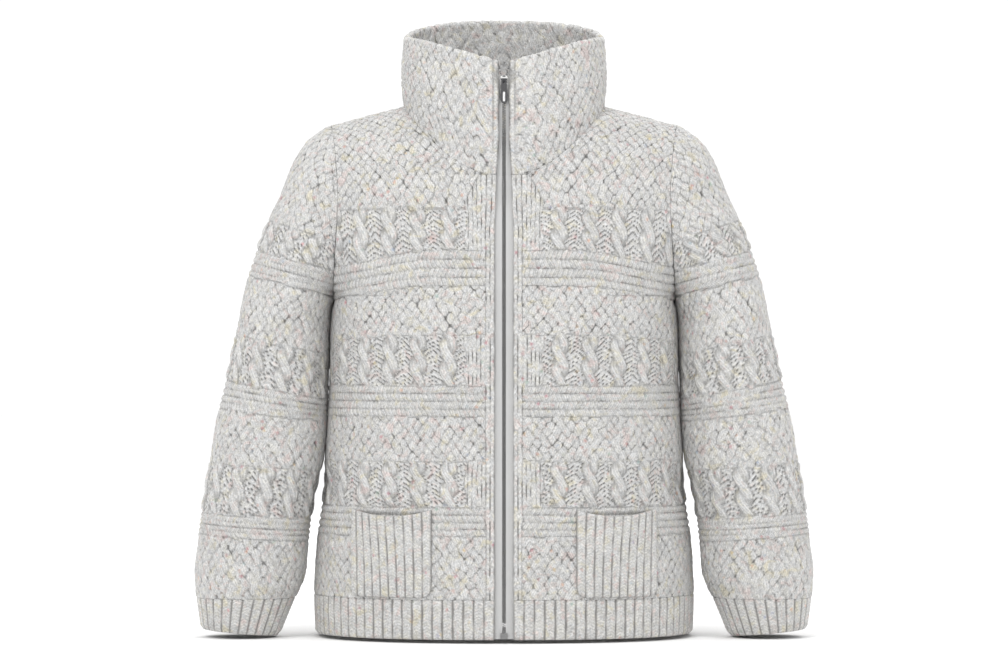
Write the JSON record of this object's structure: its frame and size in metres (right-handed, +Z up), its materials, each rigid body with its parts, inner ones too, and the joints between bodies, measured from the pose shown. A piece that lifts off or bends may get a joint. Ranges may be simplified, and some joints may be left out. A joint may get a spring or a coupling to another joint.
{
  "type": "zip-up sweater",
  "caption": "Chunky cable-knit zip-up sweater with a stand collar, long sleeves and ribbed patch pockets, in a hollow worn form.",
  "frame": {"origin": "middle of the neck opening at the height of the shoulders' high point, where the wearer's shoulders carry the garment", "axes": "+Z up, the front faces -Y, +X to the right as seen from the front"},
  "size_m": [0.749, 0.2941, 0.7527],
  "materials": {
    "knit": "chunky marled off-white and light grey tweed knit with coloured flecks",
    "rib": "ribbed marled tweed knit, matt and slightly fuzzy",
    "tape": "fine woven light grey zip tape",
    "zip_metal": "dark gunmetal zip teeth, slider and pull"
  },
  "bodies": {
    "garment": {"back": "knit", "collar": "knit", "front_left": "knit", "front_right": "knit", "sleeve_left": "knit", "sleeve_right": "knit", "hem_back": "rib", "hem_front_left": "rib", "hem_front_right": "rib", "cuff_left": "rib", "cuff_right": "rib", "pocket_left": "rib", "pocket_right": "rib", "zip_tape_left": "tape", "zip_tape_right": "tape", "zip_chain_left": "zip_metal", "zip_chain_right": "zip_metal", "zip_stop_top_left": "zip_metal", "zip_stop_top_right": "zip_metal", "zip_stop_bottom": "zip_metal", "zip_slider": "zip_metal"},
    "pull_tab": {"zip_pull": "zip_metal"}
  },
  "joints": [
    {"name": "pull_hinge", "type": "hinge", "parent": "garment", "child": "pull_tab", "pos_m": [0, -0.10559, 0.03491], "axis": [-1, 0, 0], "range_deg": [0, 165]}
  ]
}
